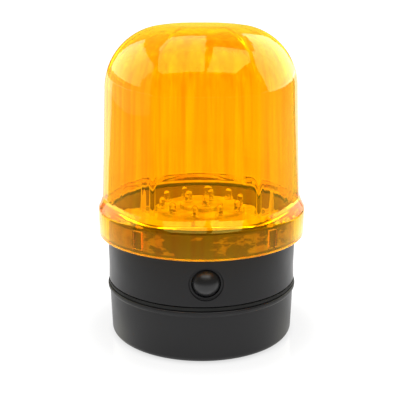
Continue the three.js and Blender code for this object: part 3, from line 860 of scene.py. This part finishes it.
def led_places():
    outer = [(f"led_outer_{i + 1}", around(19.3, 168 + 36 * i, LED_SEAT)) for i in range(10)]
    return outer + [(f"led_inner_{i + 1}", around(6.5, 135 + 120 * i, DRUM_TOP + 0.3)) for i in range(3)]


def make_leds():
    bulb = [(0, 0), (1.9, 0), (1.9, 1), (1.5, 1), (1.5, 3.9), *arc(0, 3.9, 1.5, 8, 90, 8)]
    bulb[-1] = (0, 5.4)
    leads = []
    for name, at in led_places():
        body = moved(lathe(rounded(bulb, 0.15), 32), *at)
        piece(f"{name}_fine", body, EPOXY, "housing", name)
        spin = rng.uniform(0, TAU)
        for side, height, width in ((-1, 2.3, 0.55), (1, 2.0, 0.28)):
            x = at.x + side * LEAD_OFFSET * math.cos(spin)
            y = at.y + side * LEAD_OFFSET * math.sin(spin)
            leads.append(block(x - width, x + width, y - 0.3, y + 0.3, at.z + 0.2, at.z + height, 0.1))
    piece("led_leadframes", merged(*leads), NICKEL)


make_leds()


# ---- battery tray and cells ------------------------------------------------------------------------------------
def make_tray():
    half, side, wall = 27.6, 1.5 * CELL_PITCH + CELL_RADIUS + 0.4, 1.5  # the bay's half length and half width
    end = half + wall
    tray = lathe(rounded([(0, 29.3), (42.9, 29.3), (42.9, 31.3), (0, 31.3)], 0.2), 160)
    skirt = rounded([(41.2, 20), (42.8, 20), (42.8, 30.3), (41.2, 30.3)], 0.2, loop=True)
    bay = combined(
        block(-end, end, -side - wall, side + wall, 15.5, 30.3, 0.3),
        block(-half, half, -side, side, 15, 29.3, 0.3), "DIFFERENCE",
    )
    bay = combined(bay, rod(42.8, 10, 40, 160), "INTERSECT")
    tray = joined(tray, lathe(skirt, 160, loop=True), bay)
    for y in (-CELL_PITCH, 0, CELL_PITCH):
        tray = joined(tray, block(-24, 24, y - 0.8, y + 0.8, 26.2, 30.3, 0.2))
    tray = joined(tray, *rod_pair(2.7, 30.3, 43.7, BOARD_SCREW_X, BOARD_SCREW_Y))
    tray = joined(tray, block(-6, 6, -36, -25, 30.3, 33.1, 0.3))
    holes = rod_pair(1.8, 20, 34, TRAY_SCREW_X) + rod_pair(1.5, 37.5, 46, BOARD_SCREW_X, BOARD_SCREW_Y)
    holes += [moved(rod(2.2, 20, 34), -33, y) for y in (-14, 14)]
    piece("battery_tray_fine", drilled(tray, holes), BLACK, "housing", "battery_tray", bevel=0.1)


make_tray()


def make_cells():
    jacket = [
        (0, 0.25), (6.3, 0.25), (6.9, 0), (CELL_RADIUS, 0.5),
        (CELL_RADIUS, 48.6), (6.9, 49.1), (6.2, 49.1), (0, 49.0),
    ]
    nub = [
        (0, 48.8), (4.4, 48.8), (4.4, 49.2), (2.9, 49.4), (2.7, 49.8), (2.7, 50.3),
        (2.3, CELL_LENGTH), (0, CELL_LENGTH),
    ]
    for i, y in enumerate(CELL_ROWS):
        face = 1 if i % 2 == 0 else -1
        cell = f"cell_{i + 1}"
        at = (face * (1.2 - CELL_LENGTH / 2), y, CELL_AXIS, Matrix.Rotation(face * math.pi / 2, 4, "Y"))
        piece(f"{cell}_fine", moved(lathe(rounded(jacket, 0.3), 64), *at), JACKET, "housing", cell)
        piece(f"{cell}_cap", moved(lathe(rounded(nub, 0.2), 48), *at), NICKEL)
        coil = []
        for k in range(73):
            t = k / 72
            r, turn = 3.9 - 1.5 * t, TAU * 3 * t
            coil.append((face * (-26.5 + 0.35 + 1.3 * t), y + r * math.cos(turn), CELL_AXIS + r * math.sin(turn)))
        spring = f"contact_spring_{i + 1}"
        piece(f"{spring}_fine", tube(coil, 0.3, 8), NICKEL, "housing", spring)
    strips = {"right_front": (1, -29, -1.6), "right_back": (1, 1.6, 29), "left_middle": (-1, -13.4, 13.4),
              "left_minus": (-1, -29, -16.6), "left_plus": (-1, 16.6, 29)}
    for place, (side, start, end) in strips.items():
        low, high = sorted((side * 26.8, side * 27.3))
        strip = block(low, high, start, end, 17, 26, 0.12)
        inwards = Matrix.Rotation(-side * math.pi / 2, 4, "Y")
        for y in CELL_ROWS:
            if start < y < end:
                dimple = lathe([(0, -0.1), (2.2, -0.1), (1.7, 0.25), (0, 0.32)], 24)
                strip = joined(strip, moved(dimple, side * 26.8, y, CELL_AXIS, inwards))
        piece(f"contact_strip_{place}_fine", strip, NICKEL, "housing", f"contact_strip_{place}")


make_cells()


# ---- driver board ----------------------------------------------------------------------------------------------
def make_driver():
    blank = block(-27, 27, -5, 29, 44, 45.6, 0.2)
    blank = drilled(blank, rod_pair(1.5, 40, 50, BOARD_SCREW_X, BOARD_SCREW_Y))
    piece("driver_board_fine", blank, GREEN_BOARD, "housing", "driver_board")
    can = [(0, 0), (3.6, 0), (4, 0.4), (4, 9), (3.7, 9.3), (3.7, 9.7), (4, 10), (4, 10.7), (3.7, 11), (0, 11)]
    piece("capacitor_fine", moved(lathe(rounded(can, 0.2), 48), -10, 22, 43.7, UPSIDE_DOWN), SLEEVE,
          "housing", "capacitor")
    wraps = []
    for k in range(18):
        angle = TAU * k / 18
        loop = []
        for s in (TAU * j / 20 for j in range(21)):
            r = 3.75 + 1.35 * math.cos(s)
            x, y = CHOKE_X + r * math.cos(angle), CHOKE_Y + r * math.sin(angle)
            loop.append((x, y, CHOKE_HEIGHT + 2.1 * math.sin(s)))
        wraps.append(tube(loop, 0.38, 8, capped=False))
    piece("choke_coil_fine", merged(*wraps), COPPER, "housing", "choke_coil")
    core = rounded([(2.6, 39.4), (4.9, 39.4), (4.9, 43.0), (2.6, 43.0)], 0.4, loop=True)
    piece("choke_core", moved(lathe(core, 48, loop=True), CHOKE_X, CHOKE_Y), FERRITE)
    chip = block(-4, 4, 2, 7, 45.9, 47.6, 0.15)
    dot = moved(rod(0.5, 47.45, 48, 16), -3.2, 3)
    piece("driver_chip_fine", combined(chip, dot, "DIFFERENCE"), CHIP, "housing", "driver_chip")
    pins = []
    for x in (-3, -1, 1, 3):
        for side in (-1, 1):
            near, far = sorted((4.5 + side * 2.5, 4.5 + side * 2.5 + side * 0.9))
            pins.append(block(x - 0.2, x + 0.2, near, far, 45.75, 46.1, 0.05))
    for k in range(9):
        x = -18 + 4.4 * k
        y = 26 if k % 2 else 11
        pins.append(block(x - 1, x + 1, y - 0.6, y + 0.6, 45.6, 46.1, 0.1))
    piece("driver_parts", merged(*pins), NICKEL)


make_driver()


def wire(name, material, slot, *stations):
    piece(f"{name}_fine", tube(smooth_line(stations, 8), 0.8, 14), material, "housing", name)


wire("wire_battery_plus", RED, "red_wire",
     (-33, 14, 27), (-33, 14, 33), (-32, 12, 38), (-29, 10, 42), (-27.9, 9, 44.8))
wire("wire_battery_minus", DARK, "dark_wire",
     (-33, -14, 27), (-33, -14, 33), (-32, -8, 38), (-29, -3, 42), (-27.9, 1, 44.8))
wire("wire_leds", PALE, "white_wire",
     (0, -5.9, 45), (0, -6.4, 46.8), (0, -4.2, 48.8), (0, -0.8, 50.6), (0, 0, 53.6))
wire("wire_switch", RED, "red_wire",
     (3, -20.7, 39.5), (3, -17, 39.5), (3, -12, 41), (3, -8, 44), (3, -5.9, 45.2))


# ---- stage, in metres ------------------------------------------------------------------------------------------
STUDIO_WHITE = 1.18  # what shows behind the object, and through its lens
SWEEP_LEFT, SWEEP_RIGHT = -135.0, 145.0  # the white sweep's edges as the gloss sees them, degrees from -Y
SWEEP_WHITE = 1.1
DIM_ROOM = 0.04  # what gloss sees beyond the sweep
NEAR_WHITE, NEAR_FADE = 1.1, (0.14, 0.3)  # what gloss sees of the table near the object, and where that fades out
BESIDE_GAIN, BESIDE_TURN = 1.75, (1.6, 2.4)  # it grows by this factor towards the back, between these radians
CONTACT_SHADE, CONTACT_FADE = 0.3, (0.04, 0.048)  # a painted shadow: the dark line where the object meets the table
FLOOR_SIZE = 14
FLOOR_GLOSS, FLOOR_GLOSS_IOR = 0.09, 2.8  # roughness and strength of the reflection under the object
GLOSS_FADE = (0.047, 0.085)
LIGHT_TARGET = Vector((0, 0, 0.12))
OVERHEAD = 0.9  # height of the overhead softboxes over the lens
SENSOR_WIDTH, FOCAL_LENGTH = 36, 74.66  # millimetres
CAMERA_AWAY, CAMERA_HEIGHT, CAMERA_AZIMUTH = 0.393, 0.173, -2.7
CAMERA_DOWN, CAMERA_PAN = 15.24, -2.596  # degrees below level, and about Z
LIGHT_BOUNCES = 48  # light runs a long way inside the lens's wall, and a short limit turns its edges black


def studio_light(tree, gloss):
    """Brightness of the studio: white for the eye and for what shows through glass, and gloss for mirrored rays."""
    path = tree.nodes.new("ShaderNodeLightPath")
    outside = node_math(tree, "SUBTRACT", 1.0, path.outputs["Is Transmission Ray"])
    mirrored = node_math(tree, "MULTIPLY", path.outputs["Is Glossy Ray"], outside)
    drop = node_math(tree, "SUBTRACT", STUDIO_WHITE, gloss)
    return node_math(tree, "SUBTRACT", STUDIO_WHITE, node_math(tree, "MULTIPLY", mirrored, drop))


def make_floor():
    """A pale glossy table that glows evenly to the eye, less a painted shadow where the object meets it. Mirrored
    rays see it lit near the object, as a white sweep behind it, and dim elsewhere. Its own gloss fades away from the
    object."""
    bm = bmesh.new()
    bmesh.ops.create_grid(bm, x_segments=8, y_segments=8, size=FLOOR_SIZE)
    floor = plain_object("floor", bm)
    look = Look("floor", (0.06, 0.06, 0.06), 0.5, ior=1.4, specular=0.0)
    away = look.radius()
    beside = look.remap(look.math("ABSOLUTE", look.turn()), *BESIDE_TURN, 1.0, BESIDE_GAIN)
    near = look.math("MULTIPLY", look.remap(away, *NEAR_FADE, NEAR_WHITE, 0.0), beside)
    degrees = look.math("MULTIPLY", look.turn(), 360 / TAU)
    left, right = look.math("LESS_THAN", degrees, SWEEP_LEFT), look.math("GREATER_THAN", degrees, SWEEP_RIGHT)
    sweep = look.math("MULTIPLY", look.math("MAXIMUM", left, right), SWEEP_WHITE)
    light = studio_light(look.tree, look.math("MAXIMUM", near, look.math("MAXIMUM", sweep, DIM_ROOM)))
    # painted shadow: the table's glow is dimmed in a thin ring round the object's foot
    contact = look.remap(away, *CONTACT_FADE, CONTACT_SHADE, 0.0)
    look.set("Emission Color", (1, 1, 1, 1))
    look.link(look.math("SUBTRACT", light, contact), look.shader.inputs["Emission Strength"])
    gloss = look.node("ShaderNodeBsdfGlossy")
    gloss.inputs["Roughness"].default_value = FLOOR_GLOSS
    fresnel = look.node("ShaderNodeFresnel")
    fresnel.inputs["IOR"].default_value = FLOOR_GLOSS_IOR
    share = look.math("MULTIPLY", fresnel.outputs["Fac"], look.remap(away, *GLOSS_FADE, 1.0, 0.0))
    look.mix_surface(share, look.shader.outputs["BSDF"], gloss.outputs["BSDF"])
    floor.data.materials.append(look.material)


def make_world():
    """A white world, whose upper half is dim to mirrored rays."""
    world = bpy.data.worlds.new("studio")
    bpy.context.scene.world = world
    world.use_nodes = True
    tree = world.node_tree
    back = tree.nodes["Background"]
    back.inputs["Color"].default_value = (1, 1, 1, 1)
    coords = tree.nodes.new("ShaderNodeTexCoord")
    split = tree.nodes.new("ShaderNodeSeparateXYZ")
    tree.links.new(coords.outputs["Generated"], split.inputs["Vector"])
    above = node_math(tree, "GREATER_THAN", split.outputs["Z"], 0.0)
    drop = node_math(tree, "MULTIPLY", above, STUDIO_WHITE - DIM_ROOM)
    gloss = node_math(tree, "SUBTRACT", STUDIO_WHITE, drop)
    tree.links.new(studio_light(tree, gloss), back.inputs["Strength"])


def area_light(name, width, height, radiance, place, away=None):
    """A rectangle of light that the camera cannot see. It shines down, or else opposite to away."""
    light = bpy.data.lights.new(name, "AREA")
    light.shape = "RECTANGLE"
    light.size, light.size_y = width, height
    light.energy = radiance * math.pi * width * height
    lamp = bpy.data.objects.new(name, light)
    bpy.context.scene.collection.objects.link(lamp)
    lamp.location = place
    if away is not None:
        lamp.rotation_euler = away.to_track_quat("Z", "Y").to_euler()
    lamp.visible_camera = False
    return lamp


def softbox(name, azimuth, elevation, distance, width, height, radiance):
    """An area light that faces LIGHT_TARGET; azimuth and elevation are where it stands, in degrees."""
    a, e = math.radians(azimuth), math.radians(elevation)
    away = Vector((math.sin(a) * math.cos(e), -math.cos(a) * math.cos(e), math.sin(e)))
    area_light(name, width, height, radiance, LIGHT_TARGET + away * distance, away)


def overhead(name, x0, x1, y0, y1, radiance):
    """A level softbox over the table; its edges are given as shares of its height over the lens."""
    place = (OVERHEAD * (x0 + x1) / 2, OVERHEAD * (y0 + y1) / 2, OVERHEAD + LENS_TOP * MM)
    area_light(name, (x1 - x0) * OVERHEAD, (y1 - y0) * OVERHEAD, radiance, place)


def back_card(width, low, high, distance, colour, radiance):
    """A warm card behind the object that only gloss sees: it lights the dome's top edge."""
    place = (0, distance, (low + high) / 2)
    lamp = area_light("back_card", width, high - low, radiance, place, Vector((0, 1, 0)))
    lamp.data.color = colour
    lamp.visible_transmission = False
    lamp.visible_diffuse = False


def make_camera():
    camera = bpy.data.cameras.new("camera")
    camera.sensor_width = SENSOR_WIDTH
    camera.lens = FOCAL_LENGTH
    seat = bpy.data.objects.new("camera", camera)
    bpy.context.scene.collection.objects.link(seat)
    seat.location = around(CAMERA_AWAY, CAMERA_AZIMUTH, CAMERA_HEIGHT)
    seat.rotation_euler = (math.radians(90 - CAMERA_DOWN), 0, math.radians(CAMERA_PAN))
    bpy.context.scene.camera = seat


make_floor()
make_world()
overhead("softbox_left", -0.8, 0.06, -1.2, 0.53, 2.7)
overhead("softbox_right", 0.12, 0.7, -1.25, -0.05, 3.6)
softbox("side_right", 125, 19, 0.9, 0.95, 0.66, 1.7)
softbox("side_left", -120, 22, 0.9, 0.85, 0.5, 1.4)
softbox("side_left_low", -112, 12, 0.95, 1.3, 0.9, 0.3)
back_card(1.3, 0.157, 1.1, 0.25, (1.0, 0.92, 0.06), 0.72)
make_camera()
bpy.context.scene.view_settings.view_transform = "Standard"
for kind in ("max_bounces", "glossy_bounces", "transmission_bounces"):
    setattr(bpy.context.scene.cycles, kind, LIGHT_BOUNCES)
